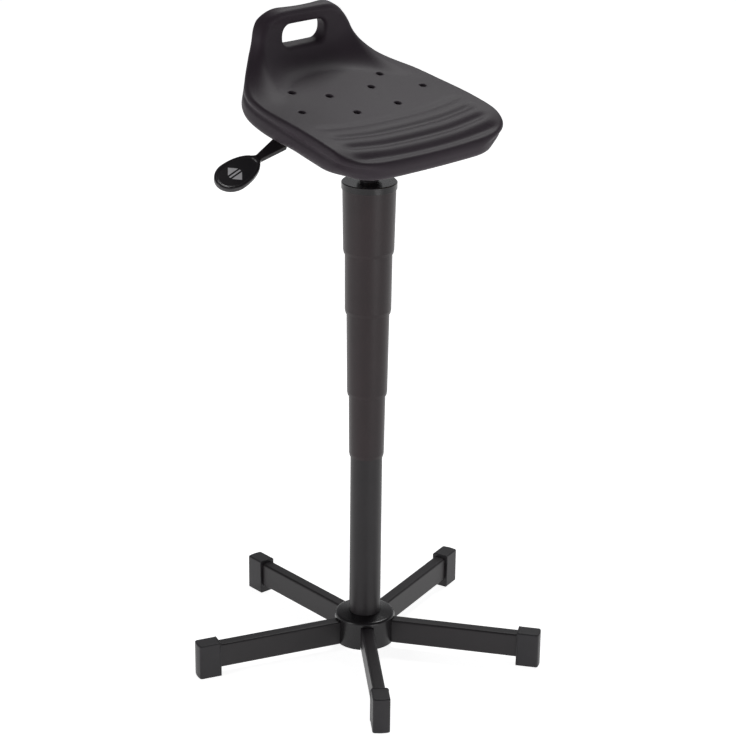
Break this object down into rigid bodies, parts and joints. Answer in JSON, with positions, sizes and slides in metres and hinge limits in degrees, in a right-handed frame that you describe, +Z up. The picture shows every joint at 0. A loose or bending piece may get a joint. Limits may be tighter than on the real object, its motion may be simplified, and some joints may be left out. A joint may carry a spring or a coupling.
{
  "type": "perch stool",
  "caption": "Gas-lift perch stool with a forward-sloping moulded seat, grip hole, telescopic column and star base.",
  "frame": {"origin": "on the floor, on the axis of the column", "axes": "+Z up along the column, the sitter faces -Y, the height lever is at -X on the sitter's right"},
  "size_m": [0.549, 0.5295, 1.0259],
  "materials": {
    "black_coated_steel": "satin powder coat",
    "bright_steel": "bright turned steel",
    "moulded_black": "fine moulded grain",
    "sleeve_black": "smooth satin moulding",
    "foot_black": "fine moulded grain",
    "lever_black": "satin moulding",
    "guide_plastic": "natural acetal",
    "bumper_rubber": "moulded rubber",
    "board_wood": "raw plywood",
    "seat_foam": "integral-skin polyurethane foam with a fine grain"
  },
  "bodies": {
    "base": {"hub_core": "black_coated_steel", "hub_cover": "moulded_black", "leg_1": "black_coated_steel", "leg_2": "black_coated_steel", "leg_3": "black_coated_steel", "leg_4": "black_coated_steel", "leg_5": "black_coated_steel", "foot_cap_1": "foot_black", "foot_cap_2": "foot_black", "foot_cap_3": "foot_black", "foot_cap_4": "foot_black", "foot_cap_5": "foot_black", "stand_tube": "black_coated_steel", "floor_disc": "bright_steel", "guide_bush": "guide_plastic", "lower_race": "bright_steel"},
    "bearing": {"ball_cage": "guide_plastic", "bearing_balls": "bright_steel"},
    "rod": {"upper_race": "bright_steel", "bump_stop": "bumper_rubber", "rod_washer": "bright_steel", "rod_clip": "bright_steel", "piston_rod": "bright_steel", "gas_piston": "bright_steel"},
    "seat_carriage": {"gas_cylinder": "black_coated_steel", "end_guide": "bright_steel", "valve_block": "bright_steel", "sleeve_cap": "moulded_black", "sleeve_1": "sleeve_black", "cone_socket": "black_coated_steel", "mechanism_housing": "black_coated_steel", "seat_plate": "black_coated_steel", "insert_board": "board_wood", "insert_nuts": "bright_steel", "bolt_washers": "bright_steel", "seat_bolts": "bright_steel", "seat": "seat_foam", "pivot_pin": "bright_steel", "pivot_clip": "bright_steel"},
    "sleeve_two": {"sleeve_2": "sleeve_black"},
    "sleeve_three": {"sleeve_3": "sleeve_black"},
    "sleeve_four": {"sleeve_4": "sleeve_black"},
    "lever": {"lever_block": "moulded_black", "lever_wire": "black_coated_steel", "lever_paddle": "lever_black"},
    "valve_pin": {"release_pin": "bright_steel"}
  },
  "joints": [
    {"name": "swivel", "type": "hinge", "parent": "base", "child": "rod", "pos_m": [0, 0, 0.02], "axis": [0, 0, 1], "continuous": true},
    {"name": "bearing_roll", "type": "hinge", "parent": "base", "child": "bearing", "pos_m": [0, 0, 0.02], "axis": [0, 0, 1], "continuous": true},
    {"name": "lift", "type": "slide", "parent": "rod", "child": "seat_carriage", "axis": [0, 0, 1], "range_m": [-0.26, 0]},
    {"name": "sleeve_two_slide", "type": "slide", "parent": "seat_carriage", "child": "sleeve_two", "axis": [0, 0, 1], "range_m": [0, 0.085]},
    {"name": "sleeve_three_slide", "type": "slide", "parent": "sleeve_two", "child": "sleeve_three", "axis": [0, 0, 1], "range_m": [0, 0.09]},
    {"name": "sleeve_four_slide", "type": "slide", "parent": "sleeve_three", "child": "sleeve_four", "axis": [0, 0, 1], "range_m": [0, 0.12]},
    {"name": "height_lever", "type": "hinge", "parent": "seat_carriage", "child": "lever", "pos_m": [-0.034, 0, 0.838], "axis": [0, 1, 0], "range_deg": [0, 4], "stiffness_Nm_per_rad": 8},
    {"name": "valve_pin_travel", "type": "slide", "parent": "seat_carriage", "child": "valve_pin", "axis": [0, 0, 1], "range_m": [-0.0028, 0]}
  ],
  "couplings": [
    {"joint": "bearing_roll", "follows": "swivel", "ratio": 0.5},
    {"joint": "valve_pin_travel", "follows": "height_lever", "m_per_rad": -0.038}
  ]
}
